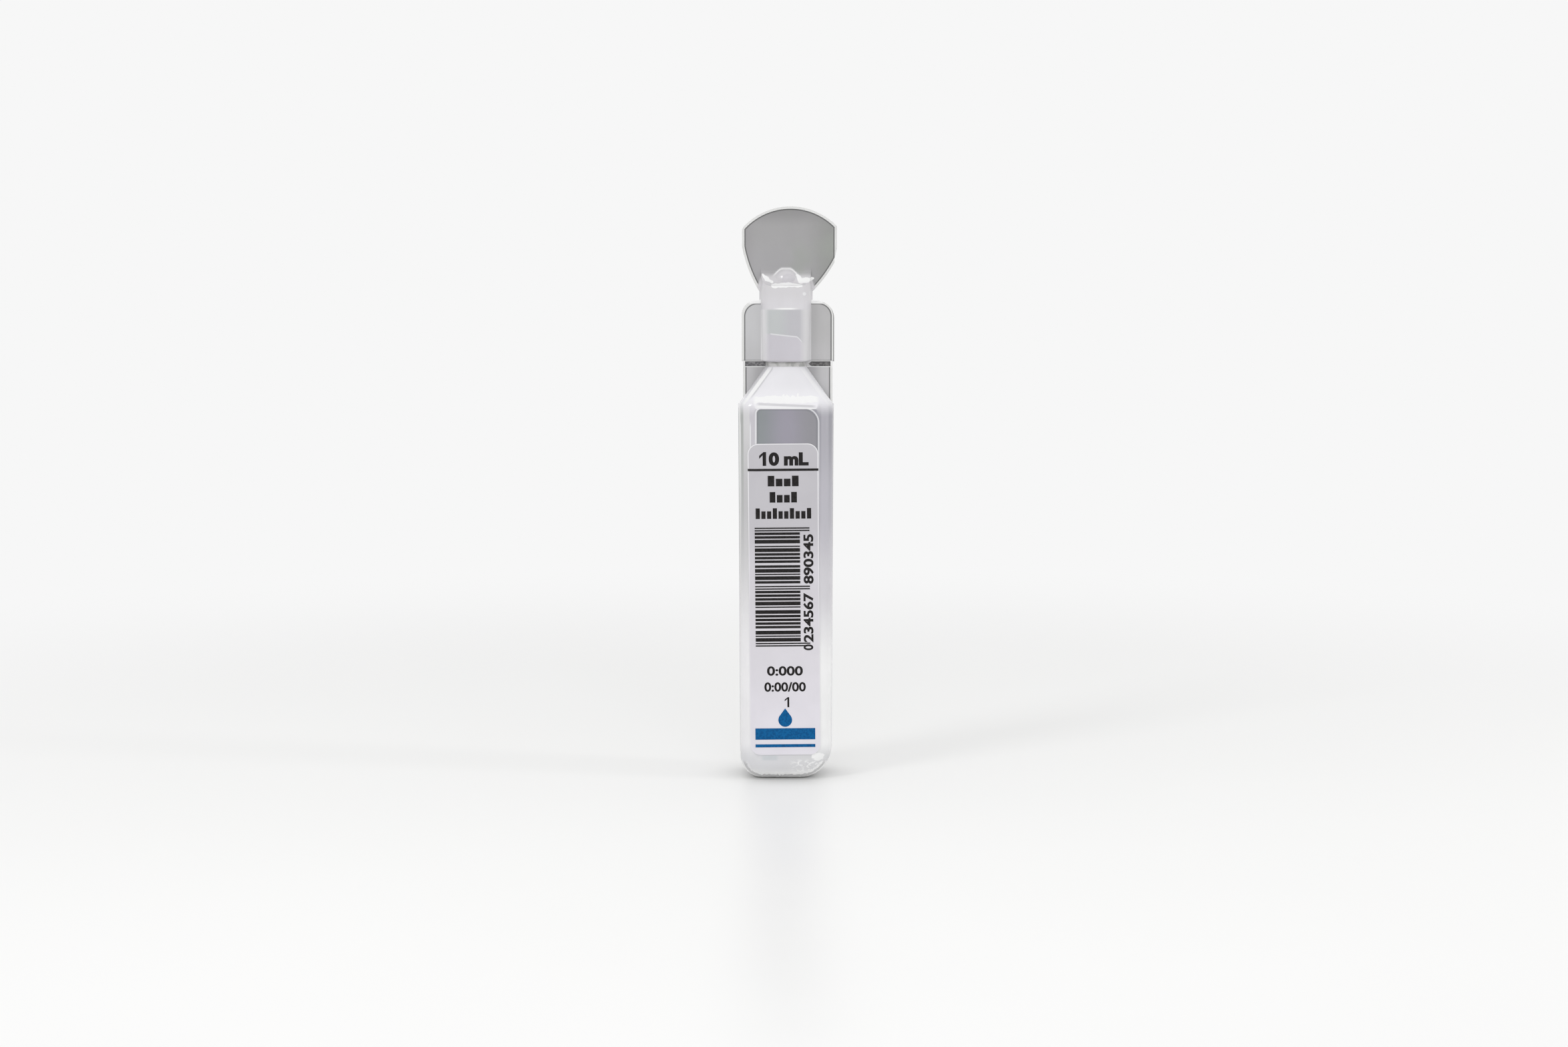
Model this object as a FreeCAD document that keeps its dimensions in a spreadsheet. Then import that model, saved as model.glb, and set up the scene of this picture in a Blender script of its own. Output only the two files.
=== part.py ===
import FreeCAD, Part
import math
import os
import Sketcher

# A 10 ml twist-off ampoule, blown, filled and sealed as one hollow plastic moulding.
# Millimetres and degrees. X runs right seen from the label side, Y to the back, Z up.
# The origin is the centre of the foot.

SIZES = {
    # The square bottle
    "foot_width": (15.3, "bottle width at the foot"),
    "foot_depth": (12.8, "bottle depth at the foot"),
    "side_gain": (0.24, "how far each side has leaned out under the shoulder"),
    "corner_round": (2.9, "radius of the corners and round the foot"),
    "foot_left": (3.8, "radius of the foot's left end, seen from the front"),
    "foot_right": (5.4, "radius of the foot's right end, seen from the front"),
    "shoulder_low": (62.8, "height where the shoulder starts"),
    "shoulder_round": (1.5, "radius of the shoulder's lower edge"),
    "neck_rise": (6.2, "height of the shoulder"),
    "neck_width": (6.9, "outside diameter at the break"),
    "neck_flat": (0.3, "short flats left on the round end of the shoulder"),
    "wall": (0.6, "wall thickness"),
    "floor": (1.1, "thickness of the foot"),
    # The foot's pinch-off channel and its weld bead
    "channel_width": (2.4, "width of the channel across the foot"),
    "channel_depth": (0.5, "depth of that channel"),
    "bead_width": (0.8, "width of the weld bead in the channel"),
    "bead_drop": (0.35, "how far the bead stands down into the channel"),
    # The mould seam
    "seam_width": (0.25, "width of the mould seam"),
    "seam_rise": (0.1, "how far the mould seam stands out"),
    # The cap, from the break upwards
    "slot": (0.84, "gap between the cap's wings and the bottle's webs"),
    "collar_low": (8.2, "cap column diameter at its lower end"),
    "collar_top": (8.55, "cap column diameter at its upper end"),
    "collar_round": (0.35, "radius of the cap column's lower edge"),
    "bore": (5.7, "diameter of the channel in neck and cap"),
    "bore_rise": (8.66, "height of the channel's closed end above the slot"),
    "bore_round": (1.2, "radius of that closed end"),
    "root_rise": (2.45, "height above the wings where the column starts to flatten"),
    "root_sweep": (3.2, "radius of the hollow in which the column flattens into the tab"),
    "bulb_round": (2.1, "radius of the bubble at the root of the tab"),
    "bulb_rise": (0.9, "height of the bubble's centre above the start of the flattening"),
    # The flat webs beside the neck and the wings of the cap
    "web_thick": (1.2, "thickness of webs and wings"),
    "web_left": (7.2, "reach of the left web"),
    "web_right": (7.8, "reach of the right web"),
    "wing_left": (7.4, "reach of the left wing"),
    "wing_right": (8.05, "reach of the right wing"),
    "wing_height": (10.11, "height of the wings"),
    "wing_round_left": (2.3, "corner radius of the left wing"),
    "wing_round_right": (2.9, "corner radius of the right wing"),
    "skin": (0.25, "thickness of the skin across the slot, which tears when the cap is twisted"),
    "tie_width": (0.35, "width of the skin's thicker outer ends"),
    "tie_thick": (0.8, "thickness of those ends"),
    "rim": (0.3, "bevel round webs, wings and tab"),
    # The tab
    "tab_thick": (1.4, "thickness of the tab"),
    "waist": (4.45, "half width of the waist under the tab"),
    "waist_rise": (1.55, "height of the waist"),
    "tab_left": (7.33, "reach of the tab to the left"),
    "tab_right": (8.5, "reach of the tab to the right"),
    "tab_centre": (0.75, "sideways place of the top arc's centre"),
    "tab_height": (14.1, "height of the tab above the waist"),
    "tab_round": (10.8, "radius of the top arc"),
    "tab_corner": (1.2, "radius of the left corner"),
    "tab_left_rise": (7.4, "height above the waist where the left side starts to turn in"),
    "tab_left_sweep": (22.0, "radius of the left side's turn"),
    "tab_right_sweep": (22.0, "radius of the right side's turn"),
    "nick_rise": (4.8, "height of the nick above the waist"),
    "nick_out": (8.1, "reach of the tab at the nick"),
    "nick_step": (0.6, "height of the nick"),
    "tear_rise": (1.7, "height of the torn right side's end above the nick"),
    # The water
    "film": (0.03, "clearance between water and wall"),
    "water_rise": (4.06, "height of the water above the slot"),
    "meniscus": (0.35, "how far the water climbs the wall"),
    # The label
    "label_thick": (0.1, "thickness of the label"),
    "glue": (0.02, "thickness of the glue line"),
    "label_width": (11.7, "width of the label"),
    "label_low": (4.3, "height of the label's lower edge"),
    "label_height": (52.15, "height of the label"),
    "label_round": (1.8, "corner radius of the label"),
    "label_shift": (-0.3, "sideways place of the label's centre"),
    "label_tilt": (0.5, "lean of the label to the left"),
    # The print
    "ink": (0.03, "thickness of the print"),
    "rule_drop": (4.35, "drop from the label's upper edge to the rule"),
    "rule_thick": (0.38, "thickness of the rule"),
    "row_drop": (7.08, "drop from there to the foot of the first row of blocks"),
    "row_step": (2.7, "step from one row to the next"),
    "row_first": (5.1, "length of the first row"),
    "row_middle": (4.5, "length of the middle row"),
    "row_last": (9.2, "length of the last row"),
    "block_low": (1.25, "height of a low block"),
    "block_tall": (1.75, "height of a tall block"),
    "block_gap": (0.26, "gap between two blocks"),
    "bars_drop": (13.95, "drop from there to the upper end of the bars"),
    "bar_module": (0.203, "height of the thinnest bar"),
    "bar_left": (-4.8, "left end of the bars, from the label's middle"),
    "bar_long": (7.5, "length of a bar"),
    "bar_extra": (1.6, "extra length of the paired bars"),
    "band_rise": (3.55, "rise from the label's lower edge to the blue band"),
    "band_thick": (1.9, "thickness of the blue band"),
    "band_long": (10.0, "length of the blue band"),
    "thread_rise": (1.55, "rise from there to the thin blue line"),
    "thread_thick": (0.5, "thickness of the thin blue line"),
    "drop_rise": (5.9, "rise from there to the middle of the blue drop's round end"),
    "drop_round": (1.15, "radius of the drop's round end"),
    "drop_point": (1.95, "distance from there up to the drop's point"),
}

OUT = 1
IN = -1
NEAR = 0.01

# Widths of the bars and of the gaps between them, in modules, taken in turn
BAR_RHYTHM = "2231322"
GAP_RHYTHM = "11211"
BARS_IN_HALF = 13

# Rows of plain blocks that stand for words: their lengths and how many blocks they have
ROWS = (("size.row_first", 4), ("size.row_middle", 4), ("size.row_last", 10))
TALL_EVERY = 3

# Heights that several outlines share, each counted from the one below it
NECK_LOW = "(size.shoulder_low + size.neck_rise)"
SLOT_TOP = f"({NECK_LOW} + size.slot)"
WING_TOP = f"({SLOT_TOP} + size.wing_height)"
ROOT_LOW = f"({WING_TOP} + size.root_rise)"
ROOT_TOP = f"({ROOT_LOW} + size.root_sweep)"
WAIST_TOP = f"({WING_TOP} + size.waist_rise)"
NICK_LOW = f"({WAIST_TOP} + size.nick_rise)"
NICK_TOP = f"({NICK_LOW} + size.nick_step)"
TAB_TOP = f"({WAIST_TOP} + size.tab_height)"
BORE_LOW = f"({NECK_LOW} - 2 * size.wall)"

# How far the bottle's sides lean out from upright
LEAN = "atan(size.side_gain / size.shoulder_low)"


def size(name):
    """The value of a size in millimetres or degrees."""
    return SIZES[name][0]


def make_sheet(doc):
    """Put every driving size in a sheet, one row each, under its own name."""
    sheet = doc.addObject("Spreadsheet::Sheet", "size")
    for row, (name, (value, note)) in enumerate(SIZES.items(), start=1):
        sheet.set(f"A{row}", note)
        sheet.set(f"B{row}", str(value))
        sheet.setAlias(f"B{row}", name)
    doc.recompute()


def origin_plane(body, role):
    """One of the body's three origin planes."""
    return next(item for item in body.Origin.OriginFeatures if item.Role == role)


def new_sketch(body, name, role, height=None):
    """An empty sketch on an origin plane, moved off it by an expression."""
    sketch = body.newObject("Sketcher::SketchObject", name)
    sketch.AttachmentSupport = [(origin_plane(body, role), "")]
    sketch.MapMode = "FlatFace"
    if height:
        sketch.setExpression("AttachmentOffset.Base.z", height)
    return sketch


def arc_between(start, end, radius, side):
    """The smaller arc from start to end, its centre on the left (OUT) or the right (IN)."""
    chord = end - start
    middle = (start + end) / 2
    reach = math.sqrt(max(radius ** 2 - chord.Length ** 2 / 4, 0.0))
    left = FreeCAD.Vector(-chord.y, chord.x, 0).normalize()
    centre = middle + left * reach * side
    first, last = (start, end) if side == OUT else (end, start)
    circle = Part.Circle(centre, FreeCAD.Vector(0, 0, 1), radius)
    turn = [math.atan2(point.y - centre.y, point.x - centre.x) for point in (first, last)]
    return Part.ArcOfCircle(circle, turn[0], turn[1])


def drive(sketch, constraint, expression):
    """Add a sized constraint and bind it to an expression."""
    index = sketch.addConstraint(constraint)
    sketch.setExpression(f"Constraints[{index}]", expression)


def trace(sketch, corners):
    """Draw a closed outline anticlockwise, its corners and arcs bound to expressions.

    A corner is (x, y), or (x, y, radius, side) where an arc leaves it.
    """
    values = [[float(sketch.evalExpression(text)) for text in corner[:3]] for corner in corners]
    points = [FreeCAD.Vector(value[0], value[1], 0) for value in values]
    pieces = []
    for number, corner in enumerate(corners):
        start = points[number]
        end = points[(number + 1) % len(points)]
        if len(corner) == 2:
            shape = Part.LineSegment(start, end)
        else:
            shape = arc_between(start, end, values[number][2], corner[3])
        backwards = len(corner) > 2 and corner[3] == IN
        ends = (2, 1) if backwards else (1, 2)
        pieces.append((sketch.addGeometry(shape, False), *ends))
    for number, (geometry, first, last) in enumerate(pieces):
        following = pieces[(number + 1) % len(pieces)]
        join = Sketcher.Constraint("Coincident", geometry, last, following[0], following[1])
        sketch.addConstraint(join)
    for corner, value, (geometry, first, last) in zip(corners, values, pieces):
        drive(sketch, Sketcher.Constraint("DistanceX", -1, 1, geometry, first, value[0]), corner[0])
        drive(sketch, Sketcher.Constraint("DistanceY", -1, 1, geometry, first, value[1]), corner[1])
        if len(corner) > 2:
            drive(sketch, Sketcher.Constraint("Radius", geometry, value[2]), corner[2])


def box_corners(left, low, right, high):
    """Corners of a plain rectangle between four expressions."""
    return [(left, low), (right, low), (right, high), (left, high)]


def rounded_corners(left, low, right, high, radius):
    """Corners of a rectangle between four expressions, all rounded alike."""
    return [
        (f"{left} + {radius}", low),
        (f"{right} - {radius}", low, radius, OUT),
        (right, f"{low} + {radius}"),
        (right, f"{high} - {radius}", radius, OUT),
        (f"{right} - {radius}", high),
        (f"{left} + {radius}", high, radius, OUT),
        (left, f"{high} - {radius}"),
        (left, f"{low} + {radius}", radius, OUT),
    ]


def level_section(body, name, height, width, depth, radius):
    """A centred rounded rectangle at a height."""
    sketch = new_sketch(body, name, "XY_Plane", height)
    side = f"({width}) / 2"
    front = f"({depth}) / 2"
    trace(sketch, rounded_corners(f"-{side}", f"-{front}", side, front, f"({radius})"))
    return sketch


def edges_where(shape, test):
    """Names of the edges that pass a test."""
    return [f"Edge{number}" for number, edge in enumerate(shape.Edges, start=1) if test(edge)]


def faces_where(shape, test):
    """Names of the faces that pass a test."""
    return [f"Face{number}" for number, face in enumerate(shape.Faces, start=1) if test(face)]


def is_level(item, height):
    """Whether an edge or a face is level and at a height."""
    box = item.BoundBox
    return abs(box.ZMin - height) < NEAR and abs(box.ZMax - height) < NEAR


def round_edges(body, name, radius, test):
    """Round the edges of the body's latest form that pass a test."""
    body.Document.recompute()
    base = body.Tip
    fillet = body.newObject("PartDesign::Fillet", name)
    fillet.Base = (base, edges_where(base.Shape, test))
    fillet.setExpression("Radius", radius)


def bevel_edges(body, name, test):
    """Bevel the edges of the body's latest form that pass a test."""
    body.Document.recompute()
    base = body.Tip
    chamfer = body.newObject("PartDesign::Chamfer", name)
    chamfer.Base = (base, edges_where(base.Shape, test))
    chamfer.setExpression("Size", "size.rim")


def front_corners(growth, low):
    """The upright bottle's outline seen from the front, moved out by growth, its foot at low."""
    half = f"(size.foot_width / 2 + {growth})"
    ends = []
    for end, sign in (("size.foot_left", "-"), ("size.foot_right", "")):
        radius = f"({end} + {growth})"
        inner = f"({half} + ({low} + {radius}) * tan({LEAN}) - {radius} / cos({LEAN}))"
        foot = (f"{sign}{inner}", low)
        bend = (f"{sign}({inner} + {radius} * cos({LEAN}))", f"{low} + {radius} - {radius} * sin({LEAN})")
        top = (f"{sign}({half} + size.side_gain)", "size.shoulder_low")
        ends.append((radius, foot, bend, top))
    (left, left_foot, left_bend, left_top), (right, right_foot, right_bend, right_top) = ends
    return [left_foot, (*right_foot, right, OUT), right_bend, right_top, left_top, (*left_bend, left, OUT)]


def add_upright(body, growth, low):
    """The square bottle up to the shoulder, its sides leaning out, moved out by growth."""
    name = body.Name
    add_plate(body, name + "_upright", f"size.foot_depth + 2 * {growth}", [front_corners(growth, low)])
    body.Document.recompute()
    pad = body.Tip
    draft = body.newObject("PartDesign::Draft", name + "_lean")
    draft.Base = (pad, faces_where(pad.Shape, lambda face: face.BoundBox.YLength < NEAR))
    draft.NeutralPlane = (origin_plane(body, "XY_Plane"), [""])
    draft.Reversed = True
    draft.setExpression("Angle", LEAN)
    body.Document.recompute()
    top = size("shoulder_low")
    round_edges(body, name + "_corners", f"size.corner_round + {growth}",
                lambda edge: edge.BoundBox.YLength < size("wall") and not is_level(edge, top))


def add_shoulder(body, growth, neck):
    """The shoulder between the upright bottle and a round neck of a given width."""
    name = body.Name
    end_round = f"({neck} - size.neck_flat) / 2"
    end = level_section(body, name + "_neck", f"{NECK_LOW} + {growth}", neck, neck, end_round)
    body.Document.recompute()
    below = body.Tip
    top = size("shoulder_low")
    loft = body.newObject("PartDesign::AdditiveLoft", name + "_shoulder")
    loft.Profile = (below, faces_where(below.Shape, lambda face: is_level(face, top)))
    loft.Sections = [(end, "")]
    loft.Ruled = True
    round_edges(body, name + "_shoulder_edge", f"size.shoulder_round + {growth}",
                lambda edge: is_level(edge, top))


def add_turn(body, name, corners):
    """A half outline (radius, height) turned about the upright axis."""
    sketch = new_sketch(body, name + "_outline", "XZ_Plane")
    trace(sketch, corners)
    turn = body.newObject("PartDesign::Revolution", name)
    turn.Profile = sketch
    turn.ReferenceAxis = (sketch, ["V_Axis"])
    turn.Angle = 360


def add_plate(body, name, thickness, outlines):
    """A flat plate with equal halves in front of and behind the middle plane."""
    sketch = new_sketch(body, name + "_outline", "XZ_Plane")
    for corners in outlines:
        trace(sketch, corners)
    plate = body.newObject("PartDesign::Pad", name)
    plate.Profile = sketch
    plate.SideType = "Symmetric"
    plate.setExpression("Length", thickness)


def make_outer_bottle(doc):
    """The bottle's outside, with the pinched weld under its foot and the mould seam."""
    body = doc.addObject("PartDesign::Body", "outer_bottle")
    add_upright(body, "0", "0")
    add_shoulder(body, "0", "size.neck_width")
    sketch = new_sketch(body, "channel_outline", "YZ_Plane")
    half = "size.channel_width / 2"
    trace(sketch, box_corners(f"-{half}", "-size.channel_depth", half, "size.channel_depth"))
    channel = body.newObject("PartDesign::Pocket", "channel")
    channel.Profile = sketch
    channel.SideType = "Symmetric"
    channel.setExpression("Length", "2 * size.foot_width")
    inset = "(size.channel_depth - size.bead_drop)"
    add_plate(body, "bead", "size.bead_width", [front_corners(f"(-{inset})", inset)])
    low = "(size.foot_width / 2 + size.seam_rise)"
    high = f"({low} + size.side_gain)"
    seam = [
        (f"-{low}", "size.foot_left"),
        (low, "size.foot_right"),
        (high, "size.shoulder_low"),
        (f"-{high}", "size.shoulder_low"),
    ]
    add_plate(body, "seam", "size.seam_width", [seam])
    return body


def make_cap(doc):
    """The thin break, the round column of the cap and its root under the tab."""
    body = doc.addObject("PartDesign::Body", "cap")
    low = "size.collar_low / 2"
    column = [
        ("0", f"{NECK_LOW} - size.wall"),
        ("size.neck_width / 2", f"{NECK_LOW} - size.wall"),
        ("size.neck_width / 2", SLOT_TOP),
        (f"{low} - size.collar_round", SLOT_TOP, "size.collar_round", OUT),
        (low, f"{SLOT_TOP} + size.collar_round"),
        ("size.collar_top / 2", ROOT_LOW),
        ("size.collar_top / 2", ROOT_TOP),
        ("0", ROOT_TOP),
    ]
    add_turn(body, "column", column)
    sketch = new_sketch(body, "root_outline", "YZ_Plane")
    tab = "size.tab_thick / 2"
    sweep = "size.root_sweep"
    above = f"{ROOT_TOP} + size.wall"
    hollow = [
        (tab, ROOT_TOP, sweep, OUT),
        (f"{tab} + {sweep}", ROOT_LOW),
        (f"{tab} + {sweep} + size.collar_top", ROOT_LOW),
        (f"{tab} + {sweep} + size.collar_top", above),
        (tab, above),
    ]
    trace(sketch, hollow)
    back = body.newObject("PartDesign::Pocket", "root_back")
    back.Profile = sketch
    back.SideType = "Symmetric"
    back.setExpression("Length", "2 * size.collar_top")
    front = body.newObject("PartDesign::Mirrored", "root_front")
    front.Originals = [back]
    front.MirrorPlane = (origin_plane(body, "XZ_Plane"), [""])
    body.Tip = front
    bulb = body.newObject("PartDesign::AdditiveSphere", "bulb")
    bulb.AttachmentSupport = [(origin_plane(body, "XY_Plane"), "")]
    bulb.MapMode = "FlatFace"
    bulb.setExpression("AttachmentOffset.Base.z", f"{ROOT_LOW} + size.bulb_rise")
    bulb.setExpression("Radius", "size.bulb_round")
    return body


def make_tab(doc):
    """The twist-off tab, torn straight along its right side."""
    body = doc.addObject("PartDesign::Body", "tab")
    centre = f"({TAB_TOP} - size.tab_round)"
    right = f"{centre} + sqrt(size.tab_round ^ 2 - (size.tab_right - size.tab_centre) ^ 2)"
    left = f"{centre} + sqrt(size.tab_round ^ 2 - (size.tab_left + size.tab_centre) ^ 2)"
    low = f"{WING_TOP} - size.wall"
    outline = [
        ("-size.waist", low),
        ("size.waist", low),
        ("size.waist", WAIST_TOP, "size.tab_right_sweep", OUT),
        ("size.nick_out", NICK_LOW),
        ("size.nick_out", NICK_TOP),
        ("size.tab_right", f"{NICK_TOP} + size.tear_rise"),
        ("size.tab_right", right, "size.tab_round", OUT),
        ("-size.tab_left", left),
        ("-size.tab_left", f"{WAIST_TOP} + size.tab_left_rise", "size.tab_left_sweep", OUT),
        ("-size.waist", WAIST_TOP),
    ]
    add_plate(body, "tab_plate", "size.tab_thick", [outline])
    corner = float(body.evalExpression(left))
    round_edges(body, "tab_corner", "size.tab_corner",
                lambda edge: is_level(edge, corner) and edge.BoundBox.XMax < 0)
    bevel_edges(body, "tab_rim", lambda edge: edge.BoundBox.YLength < NEAR)
    return body


def make_wings(doc):
    """The cap's wings, the bottle's webs under them and the skin that joins them."""
    body = doc.addObject("PartDesign::Body", "wings")
    wings = [
        ("-size.wing_left", SLOT_TOP),
        ("size.wing_right", SLOT_TOP),
        ("size.wing_right", f"{WING_TOP} - size.wing_round_right", "size.wing_round_right", OUT),
        ("size.wing_right - size.wing_round_right", WING_TOP),
        ("-size.wing_left + size.wing_round_left", WING_TOP, "size.wing_round_left", OUT),
        ("-size.wing_left", f"{WING_TOP} - size.wing_round_left"),
    ]
    webs = box_corners("-size.web_left", "size.shoulder_low - size.wall", "size.web_right", NECK_LOW)
    add_plate(body, "wing_plates", "size.web_thick", [wings, webs])
    bevel_edges(body, "wing_rim", lambda edge: edge.BoundBox.YLength < NEAR)
    low = f"{NECK_LOW} - size.rim"
    high = f"{SLOT_TOP} + size.rim"
    skin = box_corners("-size.web_left", low, "size.web_right", high)
    add_plate(body, "tear_skin", "size.skin", [skin])
    left = box_corners("-size.web_left", low, "-size.web_left + size.tie_width", high)
    right = box_corners("size.web_right - size.tie_width", low, "size.web_right", high)
    add_plate(body, "ties", "size.tie_thick", [left, right])
    return body


def make_hollow(doc, name, inset, bore_corners):
    """The inside of bottle and cap, a further inset away from the wall."""
    body = doc.addObject("PartDesign::Body", name)
    growth = f"(-size.wall - {inset})"
    add_upright(body, growth, f"(size.floor + {inset})")
    add_shoulder(body, growth, f"(size.bore - 2 * {inset})")
    add_turn(body, name + "_bore", bore_corners)
    return body


def make_ampoule(doc):
    """The one-piece moulding: bottle, cap, tab and wings around a sealed hollow."""
    outside = doc.addObject("Part::MultiFuse", "outside")
    outside.Shapes = [make_outer_bottle(doc), make_cap(doc), make_tab(doc), make_wings(doc)]
    end = f"({SLOT_TOP} + size.bore_rise)"
    bore = [
        ("0", BORE_LOW),
        ("size.bore / 2", BORE_LOW),
        ("size.bore / 2", f"{end} - size.bore_round", "size.bore_round", OUT),
        ("size.bore / 2 - size.bore_round", end),
        ("0", end),
    ]
    ampoule = doc.addObject("Part::Cut", "ampoule")
    ampoule.Base = outside
    ampoule.Tool = make_hollow(doc, "hollow", "0", bore)
    return ampoule


def make_water(doc):
    """The water, up to a level in the cap, with a hollow meniscus."""
    radius = "(size.bore / 2 - size.film)"
    level = f"({SLOT_TOP} + size.water_rise)"
    bend = f"({radius} ^ 2 + size.meniscus ^ 2) / (2 * size.meniscus)"
    bore = [
        ("0", BORE_LOW),
        (radius, BORE_LOW),
        (radius, f"{level} + size.meniscus", bend, IN),
        ("0", level),
    ]
    return make_hollow(doc, "water", "size.film", bore)


def make_sheath(doc, name, growth):
    """The upright bottle moved out by growth, from which films are cut."""
    body = doc.addObject("PartDesign::Body", name)
    add_upright(body, growth, "0")
    return body


def make_film(doc, name, outer, inner, outline):
    """A film on the bottle's front: the layer between two sheaths within an outline."""
    layer = doc.addObject("Part::Cut", name + "_layer")
    layer.Base = outer
    layer.Tool = inner
    prism = doc.addObject("PartDesign::Body", name + "_prism")
    sketch = new_sketch(prism, name + "_outline", "XZ_Plane")
    turned = FreeCAD.Rotation(FreeCAD.Vector(0, 0, 1), 1)
    sketch.AttachmentOffset = FreeCAD.Placement(FreeCAD.Vector(), turned)
    sketch.setExpression("AttachmentOffset.Base.x", "size.label_shift")
    sketch.setExpression("AttachmentOffset.Base.y", "size.label_low + size.label_height / 2")
    sketch.setExpression("AttachmentOffset.Rotation.Angle", "size.label_tilt")
    trace(sketch, outline)
    pad = prism.newObject("PartDesign::Pad", name + "_pad")
    pad.Profile = sketch
    pad.setExpression("Length", "size.foot_depth")
    film = doc.addObject("Part::Common", name)
    film.Base = layer
    film.Tool = prism
    return film


def make_films(doc):
    """The label and the printed rule across it, both bent round the bottle's corner."""
    bottle = make_sheath(doc, "label_bed", "size.glue")
    label_face = make_sheath(doc, "label_face", "(size.glue + size.label_thick)")
    ink_face = make_sheath(doc, "ink_face", "(size.glue + size.label_thick + size.ink)")
    half = "size.label_width / 2"
    tall = "size.label_height / 2"
    label = rounded_corners(f"-{half}", f"-{tall}", half, tall, "size.label_round")
    middle = f"({tall} - size.rule_drop)"
    thin = "size.rule_thick / 2"
    rule = box_corners(f"-{half}", f"{middle} - {thin}", half, f"{middle} + {thin}")
    return (make_film(doc, "label", label_face, bottle, label),
            make_film(doc, "rule", ink_face, label_face, rule))


def make_block(doc, name, left, middle, length, thickness):
    """A flat printed block; left and middle are measured from the label's centre."""
    block = doc.addObject("Part::Box", name)
    block.setExpression("Length", length)
    block.setExpression("Width", thickness)
    block.setExpression("Height", "size.ink")
    block.setExpression("Placement.Base.x", left)
    block.setExpression("Placement.Base.y", f"{middle} - ({thickness}) / 2")
    return block


def centred_block(doc, name, middle, length, thickness):
    """A flat printed block centred across the label."""
    return make_block(doc, name, f"-{length} / 2", middle, length, thickness)


def make_row(doc, number, length, count):
    """A row of plain blocks, every third one tall."""
    blocks = []
    foot = f"size.label_height / 2 - size.row_drop - {number} * size.row_step"
    step = f"({length} + size.block_gap) / {count}"
    for place in range(count):
        height = "size.block_low" if place % TALL_EVERY else "size.block_tall"
        left = f"-{length} / 2 + {place} * {step}"
        middle = f"{foot} + {height} / 2"
        name = f"row_{number + 1}_block_{place + 1:02d}"
        blocks.append(make_block(doc, name, left, middle, f"{step} - size.block_gap", height))
    return blocks


def bar_steps():
    """Each bar's first module, its modules and whether it is one of a long pair."""
    module = 0
    count = 0
    for half in range(2):
        for pair in range(2):
            yield module, 1, True
            module += 2
        for bar in range(BARS_IN_HALF):
            thick = int(BAR_RHYTHM[count % len(BAR_RHYTHM)])
            yield module, thick, False
            module += thick + int(GAP_RHYTHM[count % len(GAP_RHYTHM)])
            count += 1
    for pair in range(2):
        yield module, 1, True
        module += 2


def make_bars(doc):
    """A stack of level bars in a made-up rhythm, with long pairs at ends and middle."""
    bars = []
    for number, (module, thick, is_long) in enumerate(bar_steps(), start=1):
        length = "size.bar_long + size.bar_extra" if is_long else "size.bar_long"
        thickness = f"{thick} * size.bar_module"
        drop = f"size.bars_drop + {module + thick / 2} * size.bar_module"
        middle = f"size.label_height / 2 - ({drop})"
        bars.append(make_block(doc, f"bar_{number:02d}", "size.bar_left", middle, length, thickness))
    return bars


def make_drop(doc):
    """A blue drop: a round end and two straight sides up to a point."""
    body = doc.addObject("PartDesign::Body", "drop")
    sketch = new_sketch(body, "drop_outline", "XY_Plane")
    middle = "(size.drop_rise - size.label_height / 2)"
    across = "size.drop_round * sqrt(1 - (size.drop_round / size.drop_point) ^ 2)"
    along = f"{middle} + size.drop_round ^ 2 / size.drop_point"
    outline = [
        (across, along),
        ("0", f"{middle} + size.drop_point"),
        (f"-{across}", along, "size.drop_round", OUT),
        ("0", f"{middle} - size.drop_round", "size.drop_round", OUT),
    ]
    trace(sketch, outline)
    pad = body.newObject("PartDesign::Pad", "drop_pad")
    pad.Profile = sketch
    pad.setExpression("Length", "size.ink")
    return body


def lay_on_label(print_parts):
    """Turn flat print to face forwards and lay it on the leaning label."""
    middle = size("label_low") + size("label_height") / 2
    lean = size("side_gain") / size("shoulder_low")
    front = size("foot_depth") / 2 + lean * middle + size("glue") + size("label_thick")
    place = FreeCAD.Vector(size("label_shift"), -front, middle)
    upright = FreeCAD.Rotation(FreeCAD.Vector(1, 0, 0), 90 + math.degrees(math.atan(lean)))
    tilt = FreeCAD.Rotation(FreeCAD.Vector(0, 0, 1), size("label_tilt"))
    for part in print_parts:
        part.Placement = FreeCAD.Placement(place, upright * tilt)


def make_ink(doc, rule):
    """The black and the blue print, each a group of thin separate solids."""
    blocks = []
    for number, (length, count) in enumerate(ROWS):
        blocks += make_row(doc, number, length, count)
    black_flat = doc.addObject("Part::Compound", "black_flat")
    black_flat.Links = blocks + make_bars(doc)
    blue = doc.addObject("Part::Compound", "ink_blue")
    band = "size.band_rise - size.label_height / 2"
    thread = "size.thread_rise - size.label_height / 2"
    blue.Links = [
        make_drop(doc),
        centred_block(doc, "band", band, "size.band_long", "size.band_thick"),
        centred_block(doc, "thread", thread, "size.band_long", "size.thread_thick"),
    ]
    lay_on_label([black_flat, blue])
    black = doc.addObject("Part::Compound", "ink_black")
    black.Links = [rule, black_flat]
    return [black, blue]


def check(doc, nodes):
    """Stop unless every object was built and every sub-part is a sound solid."""
    for item in doc.Objects:
        if "Invalid" in item.State or "Error" in item.State:
            raise RuntimeError(f"{item.Label} was not built: {item.State}")
    for node in nodes:
        shape = node.Shape
        if shape.isNull() or not shape.isValid() or not shape.Solids:
            raise RuntimeError(f"{node.Label} is not a sound solid")
        print(f"{node.Label}: {len(shape.Solids)} solids, {shape.Volume:.2f} mm3, {shape.BoundBox}")


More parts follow.
